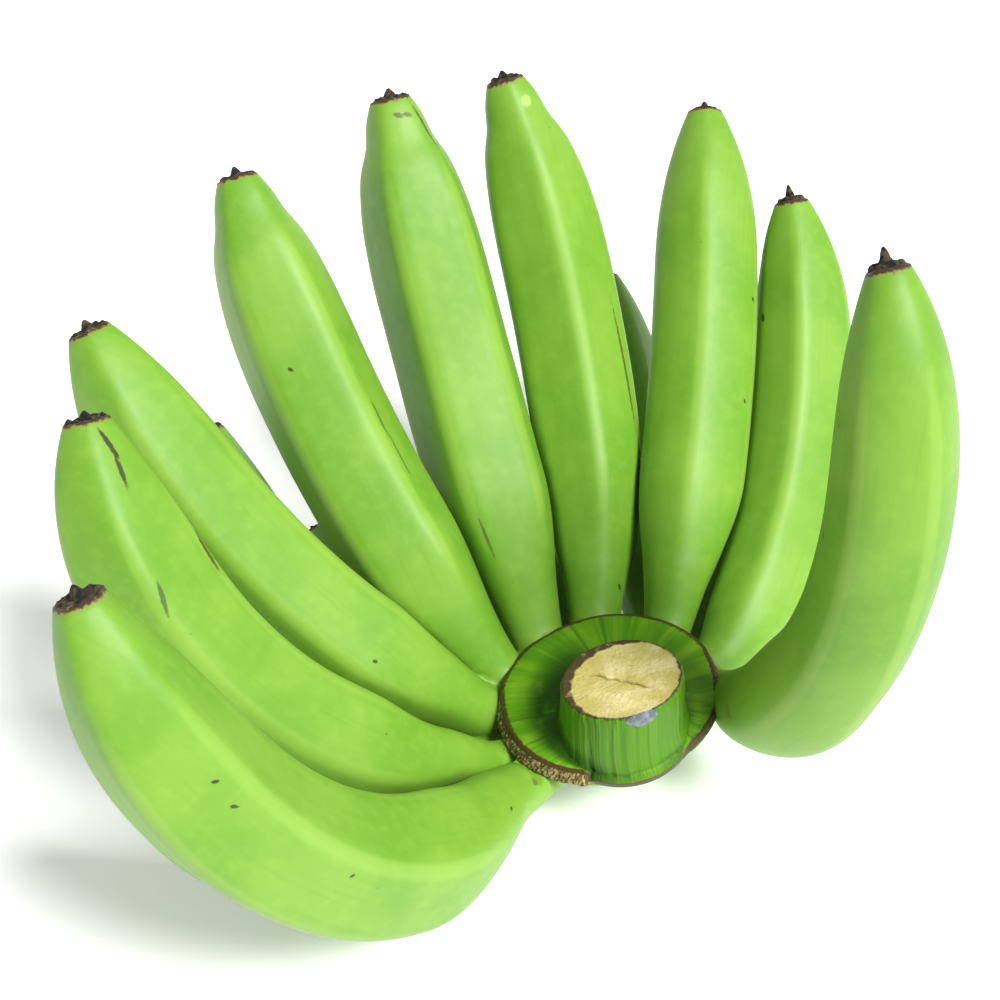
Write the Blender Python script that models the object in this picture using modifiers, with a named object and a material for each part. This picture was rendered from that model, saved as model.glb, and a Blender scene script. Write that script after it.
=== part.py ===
"""A hand of green bananas, cut with a short piece of its bunch stalk and lying down.

Metres, +Z up, the table at z = 0.  The camera side of the hand, where no fingers grow, faces -Y.
The crown is one solid: the stalk stub, the collar round it and the necks that leave the collar.
Each finger is one solid that starts a hair's breadth outside its neck and ends in its dried
flower remnant.  The lower row of fingers carries the hand: each is cut flat where it rests.
"""

import math
from collections import namedtuple

import bmesh
import bpy
from mathutils import Matrix, Vector

MM = 0.001

# Stalk axis and the direction that every finger bends towards
STALK_LEAN_LEFT = 10.0
STALK_LEAN_BACK = 2.0
SKY_LEAN_LEFT = 16.0
SKY_LEAN_BACK = 32.0
COLLAR_CENTRE_MM = (41.45, -36.66, 40.0)

# Collar and stub, sizes in millimetres
COLLAR_RADIUS = 36.5
STUB_RADIUS = 19.5
STUB_TOP = 20.0
STUB_FOOT = -6.5
STUB_OFFSET_RIGHT = 5.0
STUB_OFFSET_FRONT = 17.0
CUSHION_RADIUS = 27.0
CUSHION_FOOT = -24.0
CUSHION_OFFSET_BACK = 6.0
TURN_STEPS = 28

# Finger shape, as shares of the finger's own length or width
ROOT_RADIUS = 30.0
ROOT_SUNK = -0.06
NECK_CUT = 0.075
TOUCH_GAP = 0.3
NECK_WIDTH = 0.40
NECK_END = 0.32
TAPER_START = 0.6
TIP_WIDTH = 0.34
TAPER_POWER = 2.5
BEND_POWER = 0.7
BELLY_PEAK = 0.17
RIDGES = 5
RIDGE_HEIGHT = 0.045
SIDES = 15
BODY_STATIONS = 17
PATH_STEPS = 200

# Fingers that touch flatten each other, with a hair's breadth left between them
PRESS_GAP = 0.8
PRESS_STATIONS = 60
PRESS_REACH = 75.0

Finger = namedtuple("Finger", "name azimuth heading lift bend length width rise belly turn remnant")

# Upper row, from the front left round the back to the front right.
# azimuth and heading: degrees round the stalk, 0 right, 90 back.  lift and bend: degrees.
# length, width, rise, belly and remnant: millimetres.
UPPER_ROW = [
    Finger("finger_upper_1", 224.5, 251, -13, 119, 229, 39.8, -4.4, -0.7, 0.14, 4.0),
    Finger("finger_upper_2", 200.5, 220.5, 3.5, 103.5, 199, 39.5, -3.8, 0.4, 0.08, 3.0),
    Finger("finger_upper_3", 167.5, 193.5, 29, 55, 192, 39.0, -4.0, 3.8, 0.08, 2.0),
    Finger("finger_upper_4", 149, 146.5, 38, 34.5, 196, 39.5, -3.8, 3.0, 0.08, 2.5),
    Finger("finger_upper_5", 125.5, 105.5, 33.5, 31, 200, 38.5, -3.9, 2.2, 0.08, 2.5),
    Finger("finger_upper_6", 98.5, 80, 16.5, 56.5, 202, 37.5, -4.0, 5.2, 0.08, 2.5),
    Finger("finger_upper_7", 59.5, 67.5, 19, 29.5, 196, 36.5, -4.8, 1.9, 0.08, 4.0),
    Finger("finger_upper_8", 29, 50.5, -18.5, 84.5, 185, 35.0, -4.3, 5.9, 0.08, 6.0),
    Finger("finger_upper_9", 3, -54.5, 6.5, 111.5, 205, 35.5, -4.8, 3.8, 0.06, 6.0),
]
LOWER_ROW = [
    Finger("finger_lower_1", 199, 239.5, -22.5, 111, 170, 29.9, -19.1, 1.5, 0.08, 3.0),
    Finger("finger_lower_2", 181, 203.5, -6, 76, 166, 31.4, -19.5, 2.7, 0.08, 3.0),
    Finger("finger_lower_3", 163, 177, -7.5, 93, 161, 31.1, -19.6, 3.2, 0.08, 3.0),
    Finger("finger_lower_4", 134, 149.5, -6, 37.5, 110, 31.0, -17.9, 0.1, 0.08, 3.0),
    Finger("finger_lower_5", 114, 109.5, -6.5, 46.5, 160, 31.5, -19.4, 3.6, 0.08, 3.0),
    Finger("finger_lower_6", 63, 88, -19, 61, 181, 29.8, -20.8, 5.2, 0.08, 3.0),
    Finger("finger_lower_7", 47.5, 60, -23.5, 53, 170, 29.4, -20.7, 5.8, 0.08, 3.0),
]


def leaning_axis(left, back):
    """The upward direction that leans this many degrees to the left and to the back."""
    slope_left = math.tan(math.radians(left))
    slope_back = math.tan(math.radians(back))
    return Vector((-slope_left, slope_back, 1.0)).normalized()


STALK_AXIS = leaning_axis(STALK_LEAN_LEFT, STALK_LEAN_BACK)
SKYWARD = leaning_axis(SKY_LEAN_LEFT, SKY_LEAN_BACK)
STALK_RIGHT = (Vector((1.0, 0.0, 0.0)) - STALK_AXIS * STALK_AXIS.x).normalized()
STALK_BACK = STALK_AXIS.cross(STALK_RIGHT)
COLLAR_CENTRE = Vector(COLLAR_CENTRE_MM) * MM


def round_stalk(degrees):
    """The direction square to the stalk at this azimuth."""
    angle = math.radians(degrees)
    return STALK_RIGHT * math.cos(angle) + STALK_BACK * math.sin(angle)


def smooth_step(value):
    value = min(max(value, 0.0), 1.0)
    return value * value * (3.0 - 2.0 * value)


def finger_radius(finger, share):
    """Half the finger's width at this share of its length."""
    neck = NECK_WIDTH + (1.0 - NECK_WIDTH) * smooth_step(share / NECK_END)
    taper = max((share - TAPER_START) / (1.0 - TAPER_START), 0.0)
    tip = 1.0 - (1.0 - TIP_WIDTH) * taper ** TAPER_POWER
    return finger.width * 0.5 * MM * neck * tip


class FingerPath:
    """The centre line of one finger.

    The neck leaves the collar straight outward and turns to the finger's own heading.  From
    there the finger bends in one plane to the sky.
    """

    def __init__(self, finger):
        self.finger = finger
        lift = math.radians(finger.lift)
        self.start = round_stalk(finger.heading) * math.cos(lift) + STALK_AXIS * math.sin(lift)
        self.inward = (SKYWARD - self.start * self.start.dot(SKYWARD)).normalized()
        self.leaving = round_stalk(finger.azimuth)
        root = self.leaving * ROOT_RADIUS * MM + STALK_AXIS * finger.rise * MM
        self.points = [COLLAR_CENTRE + root]
        step = finger.length * MM / PATH_STEPS
        for index in range(PATH_STEPS):
            middle = (index + 0.5) / PATH_STEPS
            self.points.append(self.points[-1] + self.direction(middle) * step)
        self.neighbours = []
        self.stations = []
        for index in range(PRESS_STATIONS + 1):
            share = ROOT_SUNK + (1.0 - ROOT_SUNK) * index / PRESS_STATIONS
            self.stations.append((self.centre(share), finger_radius(finger, share)))

    def angle(self, share):
        return math.radians(self.finger.bend) * max(share, 0.0) ** BEND_POWER

    def direction(self, share):
        angle = self.angle(share)
        bent = self.start * math.cos(angle) + self.inward * math.sin(angle)
        return self.leaving.lerp(bent, smooth_step(share / self.finger.turn)).normalized()

    def outward(self, share):
        """The side of the section that faces away from the sky."""
        angle = self.angle(share)
        direction = self.direction(share)
        away = self.start * math.sin(angle) - self.inward * math.cos(angle)
        return (away - direction * away.dot(direction)).normalized()

    def centre(self, share):
        """Centre of the section, with the belly that swells outward past the neck."""
        length = self.finger.length * MM
        if share <= 0.0:
            return self.points[0] + self.leaving * share * length
        place = min(share, 1.0) * PATH_STEPS
        low = min(int(place), PATH_STEPS - 1)
        point = self.points[low].lerp(self.points[low + 1], place - low)
        point = point + self.direction(1.0) * max(share - 1.0, 0.0) * length
        swell = share / BELLY_PEAK * math.exp(1.0 - share / BELLY_PEAK)
        return point + self.outward(share) * self.finger.belly * MM * swell


def ridge_share(share):
    """How strongly the five ridges stand out here: weak at the neck and the tip."""
    return smooth_step(share / NECK_END) * (1.0 - 0.6 * smooth_step((share - 0.8) / 0.2))


def pressing_planes(path, centre, radius):
    """Where the neighbours flatten a section: directions from its centre and reach along each."""
    planes = []
    for neighbour in path.neighbours:
        touch = min(neighbour.stations, key=lambda item: (item[0] - centre).length - item[1])
        apart = touch[0] - centre
        distance = apart.length
        reach = (distance ** 2 + radius ** 2 - touch[1] ** 2) / (2.0 * distance) - PRESS_GAP * 0.5 * MM
        if reach < radius * (1.0 + RIDGE_HEIGHT):
            planes.append((apart / distance, reach))
    return planes


def finger_ring(path, share, radius):
    """One section of the finger as a closed ring of points."""
    centre = path.centre(share)
    outward = path.outward(share)
    side = path.direction(share).cross(outward)
    height = RIDGE_HEIGHT * ridge_share(share)
    planes = pressing_planes(path, centre, radius)
    ring = []
    for index in range(SIDES):
        angle = 2.0 * math.pi * index / SIDES
        spoke = outward * math.cos(angle) + side * math.sin(angle)
        reach = radius * (1.0 + height * math.cos(RIDGES * angle))
        for away, limit in planes:
            if spoke.dot(away) * reach > limit:
                reach = limit / spoke.dot(away)
        ring.append(centre + spoke * reach)
    return ring


def swept_solid(name, rings):
    """A closed solid: a capped circle, extruded from ring to ring."""
    bm = bmesh.new()
    bmesh.ops.create_circle(bm, cap_ends=True, segments=SIDES, radius=1.0)
    bm.faces.ensure_lookup_table()
    cap = bm.faces[0]
    for vert, point in zip(cap.verts, rings[0]):
        vert.co = point
    for number, ring in enumerate(rings[1:]):
        old_cap = cap
        grown = bmesh.ops.extrude_face_region(bm, geom=[old_cap])["geom"]
        cap = next(item for item in grown if isinstance(item, bmesh.types.BMFace))
        for vert, point in zip(cap.verts, ring):
            vert.co = point
        if number > 0:
            bmesh.ops.delete(bm, geom=[old_cap], context="FACES_ONLY")
    bmesh.ops.recalc_face_normals(bm, faces=bm.faces)
    if bm.calc_volume(signed=True) < 0.0:
        bmesh.ops.reverse_faces(bm, faces=bm.faces)
    mesh = bpy.data.meshes.new(name)
    bm.to_mesh(mesh)
    bm.free()
    return bpy.data.objects.new(name, mesh)


def cut_flat_on_table(thing):
    """Takes away what would be under the table and closes the cut with one flat face."""
    bm = bmesh.new()
    bm.from_mesh(thing.data)
    everything = bm.verts[:] + bm.edges[:] + bm.faces[:]
    bmesh.ops.bisect_plane(bm, geom=everything, plane_co=(0.0, 0.0, 0.0), plane_no=(0.0, 0.0, -1.0),
                           clear_outer=True)
    rim = [edge for edge in bm.edges if edge.is_boundary]
    if rim:
        bmesh.ops.holes_fill(bm, edges=rim)
        bmesh.ops.recalc_face_normals(bm, faces=bm.faces)
        if bm.calc_volume(signed=True) < 0.0:
            bmesh.ops.reverse_faces(bm, faces=bm.faces)
    bm.to_mesh(thing.data)
    bm.free()


def all_paths():
    """The centre lines of both rows, each with the neighbours that can press on it."""
    paths = [FingerPath(finger) for finger in UPPER_ROW + LOWER_ROW]
    for path in paths:
        for other in paths:
            apart = abs(path.finger.azimuth - other.finger.azimuth)
            if other is not path and min(apart, 360.0 - apart) < PRESS_REACH:
                path.neighbours.append(other)
    return paths


def make_finger(path):
    finger = path.finger
    first = NECK_CUT + TOUCH_GAP / finger.length
    rings = []
    for index in range(BODY_STATIONS + 1):
        share = first + (1.0 - first) * index / BODY_STATIONS
        rings.append(finger_ring(path, share, finger_radius(finger, share)))
    tip_radius = finger_radius(finger, 1.0)
    for height, girth in ((0.25, 0.8), (0.45, 0.5), (1.0, 0.22)):
        share = 1.0 + finger.remnant * height / finger.length
        rings.append(finger_ring(path, share, tip_radius * girth))
    solid = swept_solid(finger.name, rings)
    cut_flat_on_table(solid)
    return solid


def make_neck(path):
    """The neck of a finger, sunk into the collar, up to the face where the finger starts."""
    finger = path.finger
    shares = [ROOT_SUNK, 0.0, NECK_CUT * 0.5, NECK_CUT]
    rings = [finger_ring(path, share, finger_radius(finger, share)) for share in shares]
    return swept_solid("neck_of_" + finger.name, rings)


def turned_solid(name, profile):
    """A closed solid turned about the stalk axis from (radius, height) points in millimetres."""
    mesh = bpy.data.meshes.new(name)
    points = [(radius * MM, 0.0, height * MM) for radius, height in profile]
    mesh.from_pydata(points, [(index, index + 1) for index in range(len(points) - 1)], [])
    thing = bpy.data.objects.new(name, mesh)
    bpy.context.scene.collection.objects.link(thing)
    screw = thing.modifiers.new("turn", "SCREW")
    screw.axis = "Z"
    screw.steps = TURN_STEPS
    screw.render_steps = TURN_STEPS
    screw.use_merge_vertices = True
    screw.merge_threshold = 0.0001
    screw.use_normal_calculate = True
    depsgraph = bpy.context.evaluated_depsgraph_get()
    solid = bpy.data.meshes.new_from_object(thing.evaluated_get(depsgraph))
    bpy.data.objects.remove(thing)
    bm = bmesh.new()
    bm.from_mesh(solid)
    bmesh.ops.remove_doubles(bm, verts=bm.verts, dist=0.00001)
    bmesh.ops.recalc_face_normals(bm, faces=bm.faces)
    bm.to_mesh(solid)
    bm.free()
    return bpy.data.objects.new(name, solid)


def on_stalk(right, back):
    """Matrix that stands a turned solid on the stalk axis, shifted from the collar's centre."""
    place = COLLAR_CENTRE + (STALK_RIGHT * right + STALK_BACK * back) * MM
    turn = Matrix((STALK_RIGHT, STALK_BACK, STALK_AXIS)).transposed().to_4x4()
    return Matrix.Translation(place) @ turn


def fuse(base, other):
    """Joins the other solid into the base."""
    bpy.context.scene.collection.objects.link(other)
    union = base.modifiers.new("fuse", "BOOLEAN")
    union.operation = "UNION"
    union.solver = "EXACT"
    union.object = other
    bpy.context.view_layer.update()
    depsgraph = bpy.context.evaluated_depsgraph_get()
    fused = bpy.data.meshes.new_from_object(base.evaluated_get(depsgraph))
    base.modifiers.clear()
    base.data = fused
    bpy.data.objects.remove(other)


def make_crown(paths):
    """Collar, stub, lower cushion and all the necks in one solid."""
    collar_profile = [
        (0.0, 9.0), (20.0, 8.0), (31.0, 4.0), (COLLAR_RADIUS - 1.5, 1.0), (COLLAR_RADIUS, -1.5),
        (COLLAR_RADIUS - 1.5, -6.0), (COLLAR_RADIUS - 6.0, -12.0), (0.0, -14.0),
    ]
    stub_profile = [
        (0.0, STUB_TOP), (STUB_RADIUS - 0.6, STUB_TOP), (STUB_RADIUS, STUB_TOP - 1.0),
        (STUB_RADIUS + 0.5, 6.0), (STUB_RADIUS + 1.5, -2.0), (STUB_RADIUS - 0.5, STUB_FOOT),
        (0.0, STUB_FOOT - 1.0),
    ]
    cushion_profile = [
        (0.0, -2.0), (CUSHION_RADIUS, -4.0), (CUSHION_RADIUS + 3.0, -12.0),
        (CUSHION_RADIUS, CUSHION_FOOT + 2.0), (CUSHION_RADIUS - 5.0, CUSHION_FOOT), (0.0, CUSHION_FOOT),
    ]
    crown = turned_solid("crown", collar_profile)
    crown.data.transform(on_stalk(0.0, 0.0))
    stub = turned_solid("stub", stub_profile)
    stub.data.transform(on_stalk(STUB_OFFSET_RIGHT, -STUB_OFFSET_FRONT))
    cushion = turned_solid("cushion", cushion_profile)
    cushion.data.transform(on_stalk(0.0, CUSHION_OFFSET_BACK))
    bpy.context.scene.collection.objects.link(crown)
    fuse(crown, stub)
    fuse(crown, cushion)
    for path in paths:
        fuse(crown, make_neck(path))
    bpy.context.scene.collection.objects.unlink(crown)
    return crown


def plant_material(name, colour, roughness):
    material = bpy.data.materials.new(name)
    material.use_nodes = True
    surface = material.node_tree.nodes["Principled BSDF"]
    surface.inputs["Base Color"].default_value = (*colour, 1.0)
    surface.inputs["Roughness"].default_value = roughness
    surface.inputs["Metallic"].default_value = 0.0
    material.diffuse_color = (*colour, 1.0)
    return material


def main():
    for thing in list(bpy.data.objects):
        bpy.data.objects.remove(thing)
    hand = bpy.data.collections.new("banana_hand")
    bpy.context.scene.collection.children.link(hand)
    paths = all_paths()
    crown = make_crown(paths)
    crown.data.materials.append(plant_material("crown_green", (0.20, 0.42, 0.03), 0.5))
    hand.objects.link(crown)
    for path in paths:
        solid = make_finger(path)
        solid.data.materials.append(plant_material("peel_of_" + solid.name, (0.28, 0.58, 0.07), 0.42))
        solid.data.shade_smooth()
        hand.objects.link(solid)


main()
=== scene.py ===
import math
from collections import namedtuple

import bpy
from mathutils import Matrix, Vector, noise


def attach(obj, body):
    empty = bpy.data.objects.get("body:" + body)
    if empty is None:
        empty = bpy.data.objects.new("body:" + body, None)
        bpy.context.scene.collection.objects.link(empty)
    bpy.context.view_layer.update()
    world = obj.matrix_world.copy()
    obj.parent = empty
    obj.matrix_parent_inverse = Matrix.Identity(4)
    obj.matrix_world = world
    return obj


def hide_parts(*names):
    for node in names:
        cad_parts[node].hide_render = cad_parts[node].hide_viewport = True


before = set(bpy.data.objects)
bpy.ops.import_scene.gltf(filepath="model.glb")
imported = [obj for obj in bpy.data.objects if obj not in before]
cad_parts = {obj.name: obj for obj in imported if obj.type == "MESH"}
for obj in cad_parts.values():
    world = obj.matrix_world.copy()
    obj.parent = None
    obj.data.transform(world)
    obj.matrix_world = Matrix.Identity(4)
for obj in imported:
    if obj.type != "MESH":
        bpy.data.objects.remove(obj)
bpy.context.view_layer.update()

# A hand of unripe bananas, cut from its bunch with a short piece of stalk and lying on a table.
# Each finger is extruded upright and then carried along its own bent path, with the pressing of
# its neighbours.  The necks grow together in one web round the collar and the stalk stub.

MM = 0.001
BODY = "root"

# Stalk, sky direction and collar: degrees that they lean, and millimetres
STALK_LEAN_LEFT = 10.0
STALK_LEAN_BACK = 2.0
SKY_LEAN_LEFT = 16.0
SKY_LEAN_BACK = 32.0
COLLAR_CENTRE_MM = (41.45, -36.66, 40.0)
COLLAR_RADIUS = 36.5
STUB_RIGHT = 5.0
STUB_BACK = -17.0
STUB_RADIUS = 19.5
STUB_TOP = 20.0

# Path of a finger: its root in millimetres from the stalk, the rest in shares of its length
ROOT_RADIUS = 30.0
ROOT_SUNK = -0.06
BEND_POWER = 0.7
BELLY_PEAK = 0.17
PATH_STEPS = 200

# Girth of a finger, in shares of its width and length
NECK_WIDTH = 0.40
NECK_END = 0.32
TAPER_START = 0.6
TAPER_POWER = 3.2
TIP_WIDTH = 0.34

# Ridges of a finger, in shares of its radius, and where on its length they fade
RIDGES = 5
RIDGE_HEIGHT = 0.058
RIDGE_SHARPNESS = 0.16
RIDGE_LOSS = 0.6
RIDGE_FADES = (0.8, 0.2)

# Degrees that a finger's ridges are turned round its axis, and how strong they are
RIDGES_USUAL = (0.0, 1.0)
RIDGES_OWN = {
    "finger_upper_1": (13.0, 1.15), "finger_upper_7": (0.0, 0.55), "finger_upper_9": (-6.0, 0.35),
}

# Pressing of neighbours: gap and rounding in millimetres, reach in degrees round the stalk
PRESS_GAP = 0.8
PRESS_STATIONS = 60
PRESS_REACH = 75.0
PRESS_FACING = 0.05
SOFT_EDGE = 1.2

# Millimetres that a neck runs down and back beside its finger's own line, and where this fades
SHIFT_USUAL = (5.4, 0.0)
SHIFT_OWN = {
    "finger_upper_1": (5.5, 0.5), "finger_upper_2": (7.6, 0.0), "finger_upper_3": (7.2, 0.0),
    "finger_upper_8": (4.4, 0.0), "finger_upper_9": (5.5, 5.0),
}
SHIFT_FADES = (1.0, 20.0)

# Extra girth of some necks as a share, and where on the length it grows and fades
NECK_FULL = {"finger_upper_2": -0.28, "finger_upper_8": 0.10, "finger_upper_9": 0.26}
FULL_GROWS = (0.02, 0.10)
FULL_FADES = (0.1, 0.28)

# A short waist before the dried flower: share of the girth, and where it is on the length
TIP_WAIST = {"finger_upper_4": 0.07, "finger_upper_5": 0.10, "finger_upper_6": 0.09}
WAIST_AT = 0.93
WAIST_REACH = 0.03

# Millimetres that a finger stands to the right of its plane at its root and at its tip
DRIFT = {"finger_upper_2": (0.0, 2.4), "finger_upper_8": (0.0, 2.0), "finger_upper_9": (-4.6, 0.4)}
DRIFT_POWER = 4

# Millimetres that necks stay under the collar's skin, and how near its edge they do
LID_DEPTH = 1.2
LID_MARGIN = 0.4

# Under the corky part of the edge the necks stay this low, and rise again further out
CORK_FOOT = -5.0
CORK_OUT = 39.4
CORK_RISE = 0.9

# Fineness of the skin
SKIN_SIDES = 80
SKIN_RINGS = 96
SKIN_START = 0.045
NECK_SIDES = 56
NECK_RINGS = 20
NECK_STOP = 0.125
BODY_SIDES = 72
WEB_VOXEL = 0.8

# Swells of the skin: waves per metre and height in millimetres, and where on the length they start
SKIN_SWELLS = ((26.0, 0.25), (70.0, 0.06))
SWELLS_GROW = (0.09, 0.08)

# Dried flower: waves per metre of its torn and twisted forms, and how far they reach
FLOWER_START = 0.02
TORN_WAVES = 380.0
TORN_OUTER = 1.6
TORN_INNER = 0.4
INNER_GIRTH = 0.3
TWIST_WAVES = 500.0
TWIST_REACH = 0.22
DRY_SKIN_END = 0.05

# Girth of a neck at its root and where it stops under the finger's skin
NECK_ROOT_GIRTH = 1.035
NECK_STOP_GIRTH = 0.955
NECK_NARROWS = 0.03

# Bodies under the collar: (radius, height) in millimetres
COLLAR_BODY = [
    (0.5, -1.0), (29.0, -2.0), (33.0, -4.0), (34.5, -6.0), (33.5, -9.0), (30.0, -12.0), (0.5, -14.0),
]
CUSHION_BODY = [
    (0.5, -2.0), (27.0, -4.0), (30.0, -12.0), (28.5, -20.0), (22.0, -24.0), (0.5, -24.0),
]
CUSHION_BACK = 6.0

# Smoothing of the grown web: turns everywhere, and near the collar up to this far out
EVEN_TURNS = 6
FILLET_TURNS = 22
FILLET_FADES = (36.0, 9.0)

# Flower end, above the end of the skin: height as a share of the remnant, girth of the tip's own
FLOWER_END = [
    (0.02, 0.97), (0.05, 0.92), (0.10, 0.86), (0.20, 0.80), (0.30, 0.72), (0.18, 0.62), (0.04, 0.52),
    (0.02, 0.44), (0.10, 0.38), (0.26, 0.32), (0.50, 0.25), (0.75, 0.17), (1.0, 0.06), (1.0, 0.01),
]

# Stub and collar in one skin: rings of the stub's own centre, from the cut face down and out
CUT_RINGS = 24
SIDE_RINGS = 26
DISH_RINGS = 26
EDGE_RINGS = 16
COLLAR_SIDES = 288

# Form of the stub and collar: millimetres, and degrees round the stub
DISH_HEIGHT = [(0.0, 8.0), (12.0, 7.4), (20.0, 6.0), (28.0, 3.4), (33.0, 1.0), (36.5, -1.0)]
DISH_HOLLOW = 0.5
FOOT_SPREAD = 1.3
FOOT_MARGIN = 0.9
FOOT_SWELL = 0.8
FOOT_GROWS = (0.8, 0.2)
CUT_INSET = 0.7
CUT_TURN = 0.25
CUT_TURN_POWER = 6
CUT_INNERMOST = 0.004
SIDE_TOP = STUB_TOP - 0.2
SIDE_TOP_RADIUS = STUB_RADIUS - 0.1
SIDE_FOOT_RADIUS = STUB_RADIUS + 0.5
SIDE_GATHERED = 0.06
SIDE_GATHERS = 6.0
STUB_LEAN = 1.8
LEAN_GROWS = (4.0, 16.0)
CUT_SLOPE = 0.10
CUT_RAISE = 1.4
CORK_STEP = 2.0
FRONT_FOOT = -1.0
FRONT_EDGE = -3.0

# Edge of the collar, and of the stub's foot in front: (share of the way, millimetres)
EDGE_OUT = [(0.0, 0.0), (0.08, 0.25), (0.6, 0.75), (0.8, -0.6), (1.0, -6.0)]
EDGE_DROP = [(0.0, 0.0), (0.08, 0.3), (0.6, 3.4), (0.8, 4.6), (1.0, 8.0)]
EDGE_CORNER = 0.6
FRONT_OUT = [(0.0, 0.0), (0.5, -0.8), (0.8, -2.6), (1.0, -8.0)]
FRONT_DROP = [(0.0, 0.0), (0.5, 2.4), (0.8, 4.2), (1.0, 5.4)]

# Degrees round the stub, (start, width): where the collar grows and ends, and where it is corky
COLLAR_ENDS = (232.5, 3.0)
COLLAR_GROWS = (316.0, 24.0)
FRONT_HALF = 270.0
CORK_LEFT = ((146.0, 16.0), (233.0, 3.0))
CORK_RIGHT = ((16.0, 8.0), (40.0, 10.0))
CORK_RIGHT_STRENGTH = 0.55

# Groove where the collar's left end meets the stub
GROOVE_AT = 235.5
GROOVE_REACH = 2.2
GROOVE_DEPTH = 1.3
GROOVE_GROWS = (6.0, 12.0)

# Cut face: fibres, and the dried rim, which is thickest in one direction
FIBRE_WAVES = 1.1
FIBRE_HEIGHT = 0.16
RIM_START = 0.92
RIM_WIDTH = 0.09
RIM_EXTRA = 0.16
RIM_THICKEST = 150.0

# Stub side: (waves round, waves down, height) of its flutes, and its ragged upper end
FLUTES = ((9.0, 0.5, 0.45), (28.0, 0.6, 0.18))
FLUTES_GROW = 8.0
RAGGED_WAVES = 14.0
RAGGED_OUT = 0.5
RAGGED_UP = 0.6
RAGGED_FADES = 7.0
RIM_FADES = 18.0

# Folds of the collar, and the scar and cork of its edge, in shares of the way
FOLD_WAVES = 7.0
FOLD_HEIGHT = 0.35
DISH_SCAR = (0.86, 0.1)
EDGE_SCAR = (0.3, 0.5)
CORK_GROWS = (-0.05, 0.08)
CORK_WAVES = 30.0
CORK_BASE = 0.25
CORK_CELLS = 0.45
CORK_LEAST = 0.4

# Growth counts 0 to 1 over the cut, to 2 down the side, to 3 over the dish, to 4 over the edge
GROWTH = ("cut", "side", "dish", "edge")
CUT_GROWTH = 1.001
SIDE_GROWTH = 1.98

# Shrinkage crack across the cut face: millimetres
CRACK_DEPTH = 1.1
CRACK_MIDDLE = -0.7
CRACK_SLOPE = -0.52
CRACK_WAVES = 0.35
CRACK_LEFT = 1.0
CRACK_FADES = (7.0, 5.0)
CRACK_WIDTH = 0.55

# Drop of dried sap: degrees round the stub, millimetres
DROP_AT = 287.0
DROP_HALF_WIDTH = 5.6
DROP_HALF_HEIGHT = 2.9
DROP_THICKNESS = 0.45
DROP_RAISE = 1.7
DROP_NARROWS = 0.21
WOBBLE_WAVES = 1.7
WOBBLE_REACH = 0.5

# Camera and light: millimetres of lens, metres and degrees
CAMERA_LENS = 70.6
CAMERA_SENSOR = 36.0
CAMERA_PLACE = (0.00655, -0.47076, 0.5143)
CAMERA_TILT = 48.0
ROOM_STRENGTH = 0.42
LAMP_STRENGTH = 5.4
LAMP_ANGLE = 22.0
LAMP_DIRECTION = (0.45, -0.38, 0.81)
TABLE_GLOW = 0.25
TABLE_SIZE = 6.0

Finger = namedtuple("Finger", "name azimuth heading lift bend length width rise belly turn remnant")


def row_of(title, measures):
    """The fingers of one row, numbered from the front left round the back to the right."""
    return [Finger(title + str(number), *own) for number, own in enumerate(measures, 1)]


# azimuth and heading: degrees round the stalk, 0 right, 90 back.  lift and bend: degrees.
# length, width, rise, belly and remnant: millimetres.  turn: the share in which the neck turns.
UPPER_ROW = row_of("finger_upper_", [
    (224.5, 251, -13, 119, 229, 39.8, -4.4, -1.4, 0.14, 4.0),
    (200.5, 220.5, 3.5, 103.5, 202, 39.5, -3.8, 0.4, 0.08, 3.0),
    (167.5, 193.5, 29, 55, 192, 39.0, -4.0, 3.8, 0.08, 3.4),
    (149, 146.5, 38, 34.5, 196, 39.5, -3.8, 3.0, 0.08, 3.6),
    (125.5, 105.5, 33.5, 31, 200, 40.0, -3.9, 2.2, 0.08, 3.6),
    (98.5, 80, 16.5, 56.5, 202, 37.5, -4.0, 5.2, 0.08, 3.6),
    (59.5, 67.5, 19, 29.5, 196, 36.5, -4.8, 1.9, 0.08, 4.0),
    (29, 50.5, -18.5, 84.5, 185, 35.0, -4.3, 5.9, 0.08, 6.0),
    (3, -54.5, 6.5, 111.5, 203, 35.5, -4.8, 6.8, 0.10, 6.0),
])
LOWER_ROW = row_of("finger_lower_", [
    (199, 239.5, -22.5, 111, 170, 29.9, -19.1, 1.5, 0.08, 3.0),
    (181, 203.5, -6, 76, 166, 31.4, -19.5, 2.7, 0.08, 3.0),
    (163, 177, -7.5, 93, 161, 31.1, -19.6, 3.2, 0.08, 3.0),
    (134, 149.5, -6, 37.5, 110, 31.0, -17.9, 0.1, 0.08, 3.0),
    (114, 109.5, -6.5, 46.5, 160, 31.5, -19.4, 3.6, 0.08, 3.0),
    (63, 88, -19, 61, 181, 29.8, -20.8, 5.2, 0.08, 3.0),
    (47.5, 60, -23.5, 53, 170, 29.4, -20.7, 5.8, 0.08, 3.0),
])


def leaning_axis(left, back):
    """The upward direction that leans this many degrees to the left and to the back."""
    return Vector((-math.tan(math.radians(left)), math.tan(math.radians(back)), 1.0)).normalized()


STALK_AXIS = leaning_axis(STALK_LEAN_LEFT, STALK_LEAN_BACK)
SKYWARD = leaning_axis(SKY_LEAN_LEFT, SKY_LEAN_BACK)
STALK_RIGHT = (Vector((1.0, 0.0, 0.0)) - STALK_AXIS * STALK_AXIS.x).normalized()
STALK_OUT_BACK = STALK_AXIS.cross(STALK_RIGHT)
COLLAR_CENTRE = Vector(COLLAR_CENTRE_MM) * MM


def round_stalk(degrees):
    """The direction square to the stalk at this azimuth."""
    angle = math.radians(degrees)
    return STALK_RIGHT * math.cos(angle) + STALK_OUT_BACK * math.sin(angle)


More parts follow.
